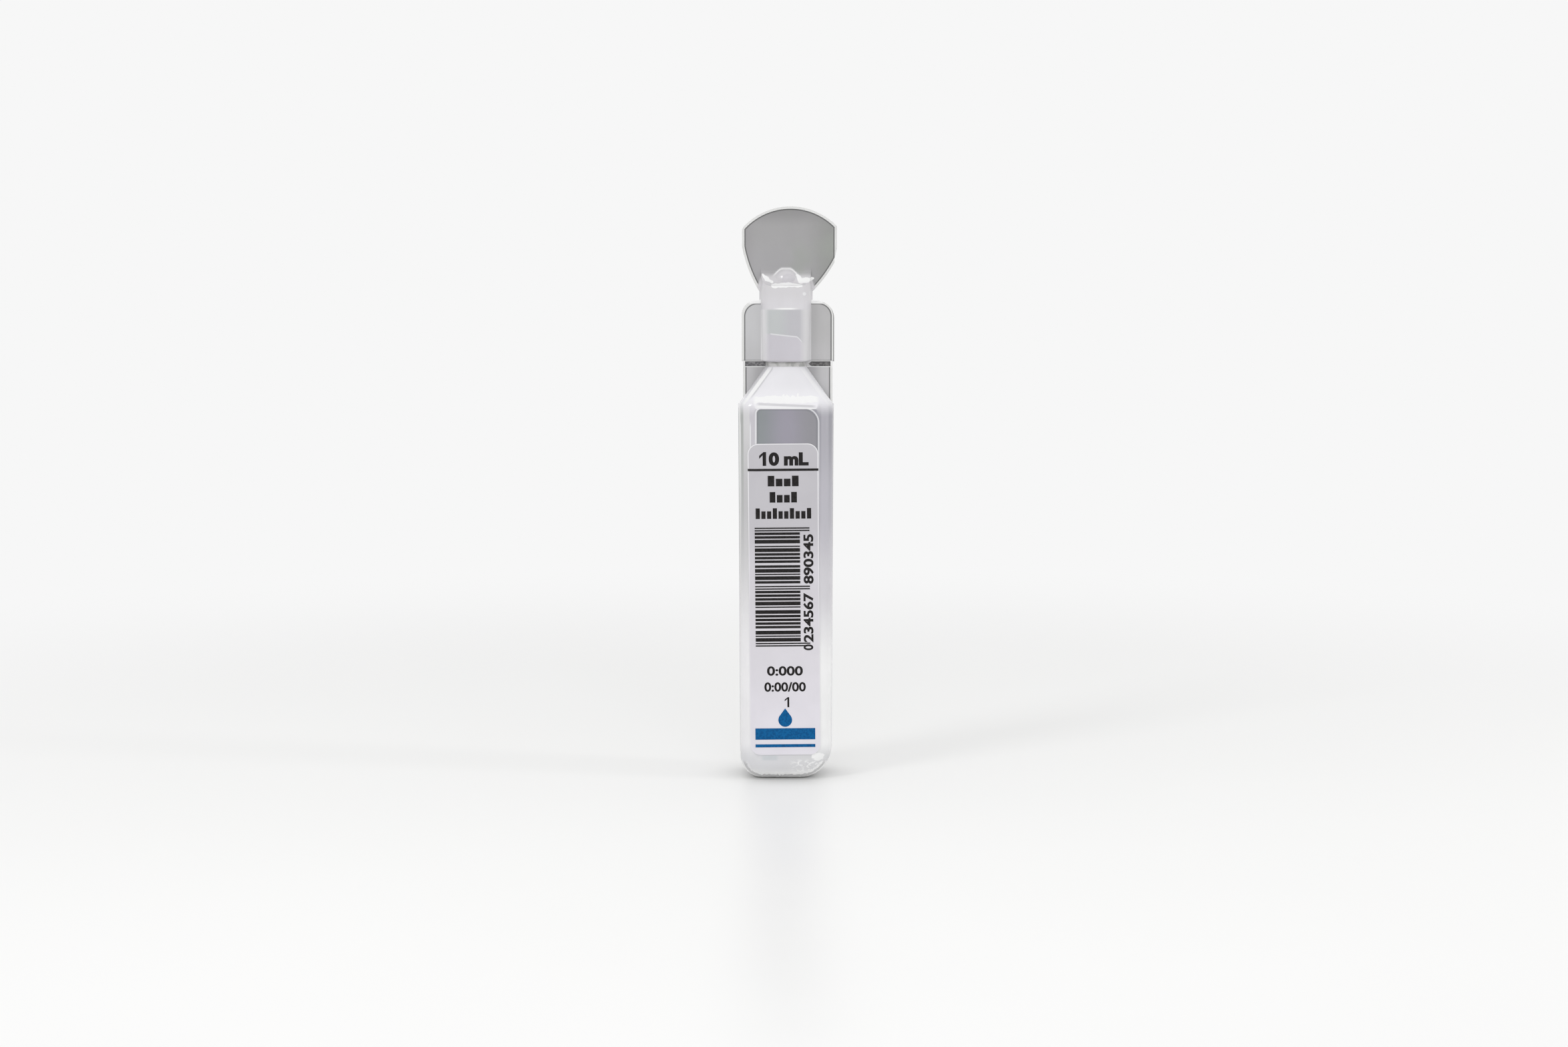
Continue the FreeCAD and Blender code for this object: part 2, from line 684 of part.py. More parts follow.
def main():
    """Build every sub-part and write each to a file named by its label."""
    doc = FreeCAD.newDocument("plastic_ampoule")
    make_sheet(doc)
    label, rule = make_films(doc)
    nodes = [make_ampoule(doc), make_water(doc), label] + make_ink(doc, rule)
    for node in nodes:
        node.Label = node.Name
    doc.recompute()
    check(doc, nodes)
    os.makedirs("parts", exist_ok=True)
    for node in nodes:
        node.Shape.exportStep(f"parts/{node.Label}.step")


main()
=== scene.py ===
import math

import bpy
from mathutils import Matrix, Vector


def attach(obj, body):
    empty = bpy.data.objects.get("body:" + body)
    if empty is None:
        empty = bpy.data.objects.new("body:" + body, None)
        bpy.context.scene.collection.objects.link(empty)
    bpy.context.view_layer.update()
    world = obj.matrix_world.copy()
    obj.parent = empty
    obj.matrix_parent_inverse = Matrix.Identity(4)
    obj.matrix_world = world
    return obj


# A 10 ml twist-off ampoule of milky plastic, filled with water, with its label.
# The scene is in metres. MM turns the millimetres used for sizes into metres.

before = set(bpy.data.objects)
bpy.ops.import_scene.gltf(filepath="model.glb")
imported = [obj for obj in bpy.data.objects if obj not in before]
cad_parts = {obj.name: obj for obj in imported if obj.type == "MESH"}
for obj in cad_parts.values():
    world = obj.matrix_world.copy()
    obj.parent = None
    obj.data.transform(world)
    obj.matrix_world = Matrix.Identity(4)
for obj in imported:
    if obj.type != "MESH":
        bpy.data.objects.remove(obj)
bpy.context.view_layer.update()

MM = 0.001

# The photograph's viewpoint: lens and sensor in millimetres, the pitch down in degrees
LENS = 61.6
SENSOR = 36.0
CAMERA_PLACE = (-0.33 * MM, -450 * MM, 84.3 * MM)
CAMERA_PITCH = 5.3
CLIP_START = 10 * MM

# Heights along the ampoule, in millimetres from the foot
SHOULDER_LOW = 62.8
NECK_LOW = 69.0
SLOT_TOP = 69.84
WATER_TOP = 73.9
BORE_END = 78.5
WING_TOP = 79.95

# The outlines of tab and wings: the discs (x, z, radius) that the tab lies within, and their reach
TAB_DISCS = ((0.75, 84.8, 10.8), (14.28, 93.05, 22.0), (-11.07, 97.09, 22.0))
TAB_LEFT = -7.33
TAB_RIGHT = 8.5
WING_LEFT = -7.4
WING_RIGHT = 8.05
WING_ROUND = 2.6
WEB_LEFT = -7.2
WEB_RIGHT = 7.8

# The foot: half its width, its depth, the radii of its ends, and how far each side leans out above it
FOOT_HALF = 7.65
FOOT_DEPTH = 12.8
FOOT_LEFT = 3.8
FOOT_RIGHT = 5.4
SIDE_GAIN = 0.24

# The label: edges, shift, corners, lean in degrees, and how far its face and ink stand out
LABEL_LOW = 4.3
LABEL_HIGH = 56.45
LABEL_SHIFT = -0.3
LABEL_WIDTH = 11.7
LABEL_ROUND = 1.8
LABEL_TILT = 0.5
LABEL_OUT = 0.12
INK = 0.02

# The clearer panel between the bottle's corners: middle, half widths, upper edge and corner radii
# Its darker grey is painted shade, as seen through the clear wall
PANEL_MIDDLE = 0.2
PANEL_HALF = 5.05
PANEL_SIDE_HALF = 4.2
PANEL_TOP = 62.18
PANEL_LEFT_ROUND = 0.8
PANEL_RIGHT_ROUND = 2.3

# The fold at the shoulder's foot: its heights, half width and slope, and the two lines under it
# The band where the shoulder folds is a painted highlight; under it lie a painted shadow line and a painted
# highlight line
FOLD_LOW = 62.75
FOLD_TOP = 63.7
FOLD_HALF = 4.9
FOLD_SLOPE = 0.04
FOLD_SHADOW = 62.8
FOLD_LINE = 62.35

# The creases at the shoulder's corners: their distance from the middle at the neck, and its growth
# The creases are painted highlights, with painted shade beside them
CREASE_HALF = 2.5
CREASE_SLOPE = 0.742

# The cap's column, its channel, and the slope of the water in it
COLUMN_HALF = 4.1
CHANNEL_SHIFT = 0.25
CHANNEL_HALF = 2.4
BORDER_HALF = 3.6
WATER_SLOPE = 0.11

# Half the thickness of the webs and wings, and of the skin in the slot, with room for their faces
PLATE_HALF = 0.62
SKIN_HALF = 0.16

# Small marks by their places (x, z), and the height at which the tab begins
SPECK = (3.05, 81.1)
# BLOB marks a painted highlight on the foot
BLOB = (5.3, 3.95)
ROOT_SPOT = (0.4, 83.6)
ROOT_HEIGHT = 84.1

# Plain figures on the label: words, their box (left, low, right, high), weight and whether turned
FIGURES = {
    "volume": ("0 mL", (-2.86, 52.75, 3.73, 55.05), 0.055, False),
    "count_first": ("0", (2.95, 21.95, 4.55, 22.95), 0.03, True),
    "count_low": ("234567", (2.95, 23.3, 4.55, 31.6), 0.03, True),
    "count_high": ("890345", (2.95, 33.1, 4.55, 41.4), 0.03, True),
    "lot": ("0:000", (-3.15, 17.65, 2.8, 19.3), 0.026, False),
    "month": ("0:00/00", (-3.6, 14.95, 3.3, 16.6), 0.026, False),
}

# Ones with a flag: their box (left, low, right, high) and the width of the stroke
ONES = {
    "volume_one": ((-4.43, 52.75, -3.31, 55.05), 0.56),
    "one": ((-0.21, 12.35, 0.54, 14.05), 0.3),
}

# Painted highlights at the root of the tab, strokes each from one point (x, z) to another with its half
# widths
SMILE = (
    ((-2.1, 82.42), (0.3, 82.6), (0.3, 0.36)),
    ((0.3, 82.6), (2.5, 82.45), (0.36, 0.14)),
    ((-3.9, 84.3), (-3.3, 83.6), (0.12, 0.3)),
    ((-3.3, 83.6), (-2.3, 83.0), (0.3, 0.12)),
    ((1.9, 84.15), (2.5, 83.25), (0.18, 0.42)),
    ((2.5, 83.25), (3.6, 83.4), (0.42, 0.34)),
    ((3.6, 83.4), (4.5, 83.65), (0.34, 0.1)),
)

# How clear the plastic is, and the bending of light in it and in water
PLASTIC_CLEAR = 0.2
PLASTIC_IOR = 1.5
WATER_IOR = 1.33

# The floor in metres, the reach of the shade under the foot, and where the floor fades (in mm)
FLOOR_RADIUS = 3.0
FLOOR_CORNERS = 96
CONTACT_REACH = 10 * MM
FADE_START = 60
FADE_END = 320

# The room's light, and the brightness of the background where it is looked at
ROOM_LIGHT = 0.8
WHITE_LEVEL = 0.93

# The softboxes: place, width and height in metres, power in watts, and whether gloss mirrors them.
# They face the target.
LAMPS = {
    "key": ((-0.34, -0.34, 0.38), 0.14, 0.14, 0.64, True),
    "front_strip": ((0.02, -0.40, 0.30), 0.24, 0.04, 0.32, False),
    "right_strip": ((0.42, -0.10, 0.16), 0.05, 0.30, 0.35, False),
}
LAMP_TARGET = (0, 0, 50 * MM)


def shade(red, green, blue):
    """A shade given as display values from 0 to 255, as scene-linear red, green and blue."""
    parts = []
    for value in (red, green, blue):
        part = value / 255
        parts.append(part / 12.92 if part <= 0.04045 else ((part + 0.055) / 1.055) ** 2.4)
    return (*parts, 1.0)


WHITE = shade(255, 255, 255)


class Paint:
    """A procedural material put together in millimetres of the part's own frame."""

    def __init__(self, name):
        self.material = bpy.data.materials.new(name)
        self.material.use_nodes = True
        self.tree = self.material.node_tree
        self.shader = self.tree.nodes["Principled BSDF"]
        place = self.add("ShaderNodeTexCoord")
        scale = self.add("ShaderNodeVectorMath", operation="SCALE")
        scale.inputs["Scale"].default_value = 1 / MM
        self.tree.links.new(place.outputs["Object"], scale.inputs[0])
        self.point = scale.outputs[0]
        split = self.add("ShaderNodeSeparateXYZ")
        self.tree.links.new(self.point, split.inputs[0])
        self.x, self.y, self.z = split.outputs

    def add(self, kind, **settings):
        """A new node of a kind with its settings."""
        node = self.tree.nodes.new(kind)
        for name, value in settings.items():
            setattr(node, name, value)
        return node

    def feed(self, socket, value):
        """Give a socket a number, a colour or another socket's output."""
        if isinstance(value, bpy.types.NodeSocket):
            self.tree.links.new(value, socket)
        else:
            socket.default_value = value

    def set(self, name, value):
        """Give one of the shader's own sockets a value."""
        self.feed(self.shader.inputs[name], value)

    def math(self, operation, first, second=0.0):
        """A sum, product or other result of one or two values."""
        node = self.add("ShaderNodeMath", operation=operation)
        self.feed(node.inputs[0], first)
        self.feed(node.inputs[1], second)
        return node.outputs[0]

    def product(self, *values):
        """The product of several values."""
        total = values[0]
        for value in values[1:]:
            total = self.math("MULTIPLY", total, value)
        return total

    def away(self, value):
        """The size of a value without its sign."""
        return self.math("ABSOLUTE", value)

    def reach(self, out, up):
        """The distance that a sideways and an upward part make together."""
        return self.math("SQRT", self.math("ADD", self.product(out, out), self.product(up, up)))

    def rise(self, value, start, end, low=0.0, high=1.0):
        """A smooth step from low at start to high at end."""
        node = self.add("ShaderNodeMapRange", interpolation_type="SMOOTHSTEP")
        for socket, given in zip(node.inputs, (value, start, end, low, high)):
            self.feed(socket, given)
        return node.outputs[0]

    def between(self, value, start, end, soft):
        """One between start and end, zero outside, with soft borders."""
        inside = self.rise(value, start - soft, start)
        return self.product(inside, self.rise(value, end + soft, end))

    def noise(self, scale, detail=2.0, stretch=(1.0, 1.0, 1.0)):
        """Cloudy noise from 0 to 1; scale is the number of clouds in a millimetre."""
        node = self.add("ShaderNodeTexNoise")
        stretched = self.add("ShaderNodeVectorMath", operation="MULTIPLY")
        self.feed(stretched.inputs[0], self.point)
        self.feed(stretched.inputs[1], stretch)
        self.feed(node.inputs["Vector"], stretched.outputs[0])
        self.feed(node.inputs["Scale"], scale)
        self.feed(node.inputs["Detail"], detail)
        return node.outputs["Fac"]

    def mix(self, share, first, second):
        """Two colours mixed by a share of the second."""
        node = self.add("ShaderNodeMix", data_type="RGBA")
        self.feed(node.inputs[0], share)
        self.feed(node.inputs[6], first)
        self.feed(node.inputs[7], second)
        return node.outputs[2]

    def dim(self, colour, noise, least):
        """A colour made darker by noise, down to a least share of itself."""
        share = self.rise(noise, 0.3, 0.7, least, 1.0)
        node = self.add("ShaderNodeVectorMath", operation="SCALE")
        self.feed(node.inputs[0], colour)
        self.feed(node.inputs["Scale"], share)
        return node.outputs[0]

    def relief(self, *layers):
        """Surface relief from pairs of a value from 0 to 1 and its height in millimetres."""
        below = None
        for value, height in layers:
            bump = self.add("ShaderNodeBump")
            bump.inputs["Strength"].default_value = 1.0
            bump.inputs["Distance"].default_value = height * MM
            self.feed(bump.inputs["Height"], value)
            if below:
                self.feed(bump.inputs["Normal"], below)
            below = bump.outputs[0]
        self.set("Normal", below)


def lerp_shades(paint, value, *stops):
    """Shades blended one after another along a value: (place, shade) stops."""
    colour = stops[0][1]
    for (start, _), (end, following) in zip(stops, stops[1:]):
        colour = paint.mix(paint.rise(value, start, end), colour, following)
    return colour


def line_at(paint, value, place, half_width, soft):
    """One on a line where a value reaches a place, zero beside it."""
    distance = paint.away(paint.math("SUBTRACT", value, place))
    return paint.rise(distance, half_width + soft, half_width)


def rounded(paint, out, up, radius):
    """How far a place lies inside an outline's rounded corner.

    out and up say how far it lies past the outline's two straight sides, below zero inside them.
    """
    out = paint.math("MAXIMUM", paint.math("ADD", out, radius), 0.0)
    up = paint.math("MAXIMUM", paint.math("ADD", up, radius), 0.0)
    return paint.math("SUBTRACT", radius, paint.reach(out, up))


def spot(paint, place, squeeze):
    """The squared distance from a place (x, z), with its sideways part times squeeze."""
    x = paint.math("MULTIPLY", paint.math("SUBTRACT", paint.x, place[0]), squeeze)
    z = paint.math("SUBTRACT", paint.z, place[1])
    return paint.math("ADD", paint.product(x, x), paint.product(z, z))


def stroke(paint, start, end, widths, soft, ragged):
    """One on a straight stroke seen from the front, zero beside it.

    It runs from start to end (x, z), its half width goes from the first to the second of widths,
    and ragged shifts its border.
    """
    run, climb = end[0] - start[0], end[1] - start[1]
    right = paint.math("SUBTRACT", paint.x, start[0])
    up = paint.math("SUBTRACT", paint.z, start[1])
    along = paint.math("ADD", paint.math("MULTIPLY", right, run), paint.math("MULTIPLY", up, climb))
    along = paint.math("DIVIDE", along, run ** 2 + climb ** 2)
    along = paint.math("MINIMUM", paint.math("MAXIMUM", along, 0.0), 1.0)
    off = paint.math("SUBTRACT", right, paint.math("MULTIPLY", along, run))
    over = paint.math("SUBTRACT", up, paint.math("MULTIPLY", along, climb))
    distance = paint.reach(off, over)
    width = paint.math("ADD", widths[0], paint.math("MULTIPLY", along, widths[1] - widths[0]))
    beyond = paint.math("ADD", paint.math("SUBTRACT", distance, width), ragged)
    return paint.rise(beyond, soft, 0.0)


def paint_panel(paint):
    """The clearer panel between the corners: its share, its frame lines of painted highlight, and its
    colour, painted darker as the shade seen through it.
    """
    height = paint.z
    front = paint.away(paint.math("SUBTRACT", paint.x, PANEL_MIDDLE))
    side = paint.math("MULTIPLY", paint.away(paint.y), PANEL_HALF / PANEL_SIDE_HALF)
    out = paint.math("SUBTRACT", paint.math("MINIMUM", front, side), PANEL_HALF)
    up = paint.math("SUBTRACT", height, PANEL_TOP)
    corner = paint.rise(paint.x, -1.0, 1.0, PANEL_LEFT_ROUND, PANEL_RIGHT_ROUND)
    inside = rounded(paint, out, up, corner)
    panel = paint.rise(inside, -0.1, 0.1)
    # Painted highlight lines along the panel's frame and along its left border
    frame_line = line_at(paint, inside, -0.16, 0.05, 0.12)
    outer_line = paint.product(line_at(paint, inside, -1.05, 0.04, 0.12), paint.rise(paint.x, -3.0, -5.0),
                               paint.rise(height, 60.5, 59.0))
    # A painted shade line just inside the frame; the panel is painted darker as the shade seen through it,
    # paler towards the foot
    inner_dark = line_at(paint, inside, 0.12, 0.05, 0.2)
    upper = lerp_shades(paint, paint.x, (-4.6, shade(146, 151, 154)), (0.0, shade(162, 159, 171)),
                        (4.4, shade(153, 152, 158)))
    upper = paint.mix(paint.product(inner_dark, 0.45), upper, shade(128, 130, 136))
    middle = paint.mix(paint.rise(height, 54, 14), upper, shade(226, 224, 229))
    return panel, paint.math("MAXIMUM", frame_line, outer_line), middle


def paint_bottle(paint, right):
    """The square bottle: pale corners with painted light and shade, and a clearer panel between them,
    painted darker as the shade seen through it.
    """
    height = paint.z
    # The corners are painted as they are lit: the left one pale, the right one darker high up, both paler
    # towards the foot
    left_strip = lerp_shades(paint, height, (62, shade(222, 221, 223)), (48, shade(203, 202, 204)),
                             (18, shade(250, 249, 251)))
    # A painted darker line high on the left, and a painted lighter streak on the right
    border = paint.product(paint.between(paint.x, -5.95, -4.9, 0.15), paint.rise(height, 55, 57))
    left_strip = paint.mix(paint.product(border, 0.8), left_strip, shade(205, 202, 210))
    right_strip = lerp_shades(paint, height, (60, shade(164, 163, 171)), (47, shade(188, 186, 194)),
                              (33, shade(221, 219, 224)), (18, WHITE))
    streak = paint.product(paint.between(paint.x, 6.0, 6.9, 0.4), paint.rise(height, 34, 44))
    right_strip = paint.mix(paint.product(streak, 0.45), right_strip, shade(204, 202, 210))
    strips = paint.mix(right, left_strip, right_strip)
    # A painted shade line and a painted highlight along the left edge
    lean = paint.math("MULTIPLY", height, SIDE_GAIN / SHOULDER_LOW)
    inside = paint.math("ADD", paint.math("ADD", paint.x, FOOT_HALF), lean)
    rim = paint.product(paint.between(inside, 0.38, 0.75, 0.12), paint.rise(height, 30, 62), 0.85)
    strips = paint.mix(rim, strips, shade(174, 177, 174))
    fringe = paint.product(paint.rise(inside, 0.34, 0.24), paint.rise(height, 22, 55))
    strips = paint.mix(fringe, strips, shade(230, 231, 229))
    panel, lines, middle = paint_panel(paint)
    body = paint.mix(panel, strips, middle)
    # The panel's frame lines are painted highlights, stronger high up
    strength = paint.rise(height, 34, 56, 0.0, 0.75)
    return paint.mix(paint.product(lines, strength), body, shade(244, 244, 247))


def foot_inside(paint):
    """How far a place lies inside the foot's outline, seen from the front."""
    ends = []
    for side, radius in ((-1, FOOT_LEFT), (1, FOOT_RIGHT)):
        out = paint.math("SUBTRACT", paint.math("MULTIPLY", paint.x, side), FOOT_HALF)
        down = paint.math("SUBTRACT", 0.0, paint.z)
        ends.append(rounded(paint, out, down, radius))
    return paint.math("MINIMUM", *ends)


def paint_foot(paint, right, body):
    """The foot, painted whitish against the shade of its underside, with painted highlights and shade, and
    rough where it was pinched off.
    """
    height = paint.z
    # The foot is painted paler low down, against the shade of its underside
    foot = paint.mix(right, shade(229, 229, 232), shade(226, 226, 228))
    foot = paint.mix(paint.rise(height, 2.4, 0.6), foot, shade(250, 250, 250))
    body = paint.mix(paint.rise(height, 6.5, 3.4), body, foot)
    front = paint.rise(paint.y, 0.5, -0.5)
    ragged = paint.noise(1.6, 5.0, (1.0, 1.0, 1.6))
    pale = paint.product(paint.rise(ragged, 0.48, 0.62), paint.rise(paint.x, 0.0, 2.5),
                         paint.rise(height, 3.7, 2.9), 0.9)
    body = paint.mix(pale, body, shade(254, 254, 254))
    # A bluish painted shade, as the label's shade seen through the wall
    refracted_shade = paint.product(paint.between(paint.x, -3.6, -1.8, 0.7), paint.between(height, 3.5, 4.0, 0.3),
                         front, 0.6)
    body = paint.mix(refracted_shade, body, shade(208, 215, 219))
    # A ragged grey patch of painted shade, for the shaded facet at the foot's right corner
    slope = paint.math("ADD", height, paint.math("MULTIPLY", paint.x, -0.9))
    wander = paint.math("ADD", slope, paint.math("MULTIPLY", ragged, 2.4))
    facet_shade = paint.product(paint.between(wander, -3.6, -2.5, 0.3), paint.rise(paint.x, 4.9, 5.6), front,
                         paint.rise(height, 7.2, 6.2))
    body = paint.mix(paint.product(facet_shade, 0.85), body, shade(182, 183, 187))

    # The pinched seam: a ragged band painted grey as the shaded underside, between two white lines
    inside = foot_inside(paint)
    low = paint.product(front, paint.rise(height, 3.4, 2.4))
    wavy = paint.math("ADD", inside, paint.math("MULTIPLY", paint.math("SUBTRACT", ragged, 0.5), 1.1))
    band = paint.product(paint.between(wavy, 0.3, 0.8, 0.08), low)
    body = paint.mix(paint.product(band, 0.85), body, shade(198, 198, 199))
    upper = paint.product(line_at(paint, wavy, 0.98, 0.1, 0.12), low,
                          paint.rise(paint.x, -4.5, 0.5, 0.3, 1.0))
    lower = paint.product(paint.rise(inside, 0.4, 0.26), low)
    body = paint.mix(paint.math("MAXIMUM", upper, lower), body, WHITE)
    # A painted highlight on the foot
    foot_highlight = paint.math("ADD", spot(paint, BLOB, 0.6), ragged)
    foot_highlight = paint.product(paint.rise(foot_highlight, 1.05, 0.8), front)
    return paint.mix(foot_highlight, body, WHITE)


def paint_shoulder(paint, right):
    """The shoulder: white, with a band of painted highlight low down where it folds, and painted highlights
    along the creases at its corners.
    """
    across, height = paint.away(paint.x), paint.z
    colour = paint.mix(right, shade(241, 240, 244), shade(239, 238, 242))
    colour = paint.mix(paint.rise(height, 66.5, 64.0), colour, shade(246, 245, 249))
    # A wavy band of painted highlight where the shoulder folds, with spiky tips
    ripple = paint.noise(0.9, 4.0, (1.0, 1.0, 0.2))
    wavy = paint.math("ADD", height, paint.math("MULTIPLY", ripple, -0.9))
    fold_highlight = paint.product(paint.between(wavy, FOLD_LOW, FOLD_TOP, 0.1),
                         paint.rise(across, FOLD_HALF + 0.7, FOLD_HALF))
    spikes = paint.noise(1.9, 3.0, (1.0, 1.0, 0.12))
    tips = paint.math("SUBTRACT", height, paint.math("MULTIPLY", spikes, 2.4))
    tips = paint.product(paint.between(tips, 61.5, 63.0, 0.15), paint.rise(across, 3.4, 2.2),
                         paint.rise(height, 63.0, 63.3))
    fold_highlight = paint.math("MAXIMUM", fold_highlight, tips)
    colour = paint.mix(fold_highlight, colour, WHITE)
    # Under the band, a painted shadow line and a painted highlight line
    tilt = paint.math("ADD", height, paint.math("MULTIPLY", paint.x, FOLD_SLOPE))
    shadow = paint.product(line_at(paint, tilt, FOLD_SHADOW, 0.12, 0.14), paint.rise(across, 5.2, 4.2))
    colour = paint.mix(paint.product(shadow, 0.7), colour, shade(204, 203, 207))
    edge = paint.product(line_at(paint, tilt, FOLD_LINE, 0.14, 0.08), paint.rise(across, 5.2, 4.6))
    colour = paint.mix(edge, colour, shade(252, 252, 253))
    # The creases are painted highlights, stronger on the left, with painted shade lines beside them
    down = paint.math("SUBTRACT", NECK_LOW, height)
    crease_place = paint.math("SUBTRACT", across, paint.math("MULTIPLY", down, CREASE_SLOPE))
    crease_width = paint.rise(height, 63.0, 65.5, 0.12, 0.24)
    distance = paint.away(paint.math("SUBTRACT", crease_place, CREASE_HALF))
    crease_highlight = paint.rise(paint.math("SUBTRACT", distance, crease_width), 0.2, 0.0)
    beside = line_at(paint, crease_place, CREASE_HALF + 0.65, 0.15, 0.25)
    inner = line_at(paint, crease_place, CREASE_HALF - 0.45, 0.02, 0.3)
    beside = paint.product(paint.math("MAXIMUM", beside, inner), paint.rise(paint.x, -2.0, -2.4),
                           paint.rise(height, 63.4, 65.0))
    colour = paint.mix(paint.product(beside, 0.8), colour, shade(205, 204, 208))
    strength = paint.rise(paint.x, 2.0, -2.0, 0.45, 1.0)
    crease_highlight = paint.product(crease_highlight, strength, paint.rise(height, 62.4, 63.2), paint.rise(height, 69.0, 68.2))
    return paint.mix(crease_highlight, colour, WHITE)


def paint_rim(paint, face, inside, light):
    """A plate's face with a painted highlight rim and a thin painted shade line, by the distance inside its
    outline.
    """
    dark = line_at(paint, inside, 0.5, 0.08, 0.06)
    face = paint.mix(paint.product(dark, 0.85), face, shade(96, 96, 96))
    return paint.mix(paint.rise(inside, 0.44, 0.36), face, light)


def between_sides(paint, left, right):
    """How far a place lies inside two upright sides."""
    past_left = paint.math("SUBTRACT", paint.x, left)
    return paint.math("MINIMUM", past_left, paint.math("SUBTRACT", right, paint.x))


def wing_inside(paint):
    """How far a place lies inside the wings' outline, from their sides and top."""
    middle, half = (WING_LEFT + WING_RIGHT) / 2, (WING_RIGHT - WING_LEFT) / 2
    out = paint.math("SUBTRACT", paint.away(paint.math("SUBTRACT", paint.x, middle)), half)
    return rounded(paint, out, paint.math("SUBTRACT", paint.z, WING_TOP), WING_ROUND)


def tab_inside(paint):
    """How far a place lies inside the tab's outline."""
    inside = between_sides(paint, TAB_LEFT, TAB_RIGHT)
    for x, z, radius in TAB_DISCS:
        out = paint.math("SUBTRACT", paint.x, x)
        up = paint.math("SUBTRACT", paint.z, z)
        inside = paint.math("MINIMUM", inside, paint.math("SUBTRACT", radius, paint.reach(out, up)))
    return inside


def paint_column(paint, right):
    """The cap's round column: sides painted pale as lit, a channel painted greyer as the shade seen through
    it, and painted highlight lines where the water and the bore end.
    """
    across, height = paint.away(paint.x), paint.z
    tilt = paint.math("ADD", height, paint.math("MULTIPLY", paint.x, WATER_SLOPE))
    curl = paint.product(paint.rise(paint.x, 1.7, 3.0), 0.9)
    place = paint.math("ADD", tilt, curl)
    dry = paint.mix(paint.rise(paint.x, -1.5, 1.0), shade(202, 205, 206), shade(199, 198, 203))
    middle = paint.mix(paint.rise(place, WATER_TOP + 0.35, WATER_TOP + 0.15), dry, shade(210, 207, 214))
    channel = paint.away(paint.math("ADD", paint.x, CHANNEL_SHIFT))
    border = paint.mix(right, shade(236, 235, 237), shade(225, 224, 226))
    column = paint.mix(paint.rise(channel, CHANNEL_HALF, BORDER_HALF), middle, border)
    # Painted highlight lines where the water and the bore end
    level = paint.product(line_at(paint, place, WATER_TOP + 0.3, 0.04, 0.12), paint.rise(across, 2.8, 2.4))
    column = paint.mix(paint.product(level, 0.7), column, shade(244, 244, 246))
    neck = paint.mix(paint.rise(height, BORE_END + 0.4, BORE_END + 3.0), shade(224, 222, 226),
                     shade(219, 217, 220))
    column = paint.mix(paint.rise(height, BORE_END - 0.2, BORE_END + 0.2), column, neck)
    end = paint.product(line_at(paint, height, BORE_END + 0.15, 0.05, 0.14), paint.rise(across, 2.4, 0.6))
    column = paint.mix(end, column, shade(252, 252, 252))
    speck = paint.product(paint.rise(spot(paint, SPECK, 1.0), 0.12, 0.04),
                          paint.rise(paint.y, 0.0, -1.0), 0.8)
    return paint.mix(speck, column, shade(244, 244, 246))


def paint_cap(paint, right, flat):
    """The cap: pale column, and wings painted greyer as the shade seen through them, darker on the right,
    with painted highlight rims.
    """
    across, height = paint.away(paint.x), paint.z
    column = paint_column(paint, right)
    wing = paint.mix(right, shade(204, 204, 206), shade(188, 187, 188))
    wing = paint.mix(paint.rise(height, 74.5, 71.0, 0.0, 0.5), wing, shade(196, 195, 197))
    inside = wing_inside(paint)
    rim = paint_rim(paint, wing, inside, shade(232, 232, 231))
    # Painted highlights along the slot's upper edge and the wings' tops, and a painted shade line at the
    # right wing's outer edge
    wing = paint.mix(paint.rise(height, SLOT_TOP + 0.16, SLOT_TOP + 0.08), rim, shade(240, 240, 240))
    outer_line = paint.product(line_at(paint, inside, 0.08, 0.07, 0.03), paint.rise(paint.x, 6.6, 7.6),
                               paint.rise(height, 79.2, 78.2))
    wing = paint.mix(paint.product(outer_line, 0.8), wing, shade(110, 110, 110))
    glint = paint.product(paint.between(across, 4.4, 5.9, 0.5),
                          paint.rise(height, WING_TOP - 0.6, WING_TOP - 0.35))
    wing = paint.mix(glint, wing, WHITE)
    outside = paint.product(flat, paint.rise(across, COLUMN_HALF, COLUMN_HALF + 0.2),
                            paint.rise(height, WING_TOP + 0.3, WING_TOP))
    return paint.mix(outside, column, wing)


def paint_tab(paint):
    """The tab: a cloudy grey painted as the shade seen through it, darker at the top and sides, with a thin
    painted highlight rim.
    """
    tab = lerp_shades(paint, paint.z, (86, shade(170, 169, 171)), (92, shade(167, 166, 167)),
                      (95.3, shade(148, 147, 148)))
    tab = paint.mix(paint.product(paint.rise(paint.x, 2, 8), 0.9), tab, shade(150, 150, 149))
    tab = paint.mix(paint.rise(paint.x, -4.5, -7.2), tab, shade(162, 160, 162))
    green = paint.product(paint.rise(paint.noise(0.14), 0.4, 0.7), paint.rise(paint.x, -1.0, 3.0), 0.7)
    tab = paint.mix(green, tab, shade(160, 164, 158))
    return paint_rim(paint, tab, tab_inside(paint), shade(230, 230, 229))


